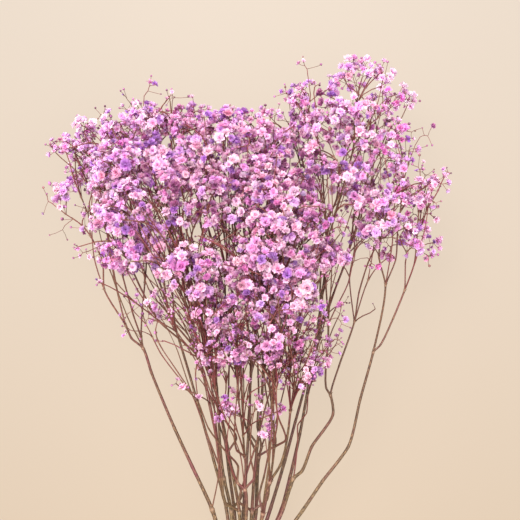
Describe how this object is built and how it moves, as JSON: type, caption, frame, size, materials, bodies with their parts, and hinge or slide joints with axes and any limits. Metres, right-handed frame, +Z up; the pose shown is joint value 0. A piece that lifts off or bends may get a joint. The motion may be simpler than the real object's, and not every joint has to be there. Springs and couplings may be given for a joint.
{
  "type": "preserved gypsophila bunch",
  "caption": "Lying bunch of preserved, dyed baby's breath: thin woody stems in a rubber band fork into an airy cloud of tiny double florets.",
  "frame": {"origin": "on the table, under the middle of the whole bunch's box", "axes": "+Z up from the table, +Y from the cut ends of the stems towards the flower heads, +X to the right of the picture"},
  "size_m": [0.288, 0.4768, 0.1423],
  "materials": {
    "dyed_spray": "matt, dyed pink and purple",
    "rubber_band": "satin natural rubber"
  },
  "bodies": {
    "root": {"spray_outer_left": "dyed_spray", "spray_left": "dyed_spray", "spray_front_left": "dyed_spray", "spray_front_right": "dyed_spray", "spray_front_top": "dyed_spray", "spray_upper_left": "dyed_spray", "spray_centre": "dyed_spray", "spray_top_left": "dyed_spray", "spray_right": "dyed_spray", "spray_outer_right": "dyed_spray", "spray_top_right": "dyed_spray", "spray_back_left": "dyed_spray", "spray_back_right": "dyed_spray", "spray_below": "dyed_spray", "rubber_band": "rubber_band"}
  },
  "joints": []
}
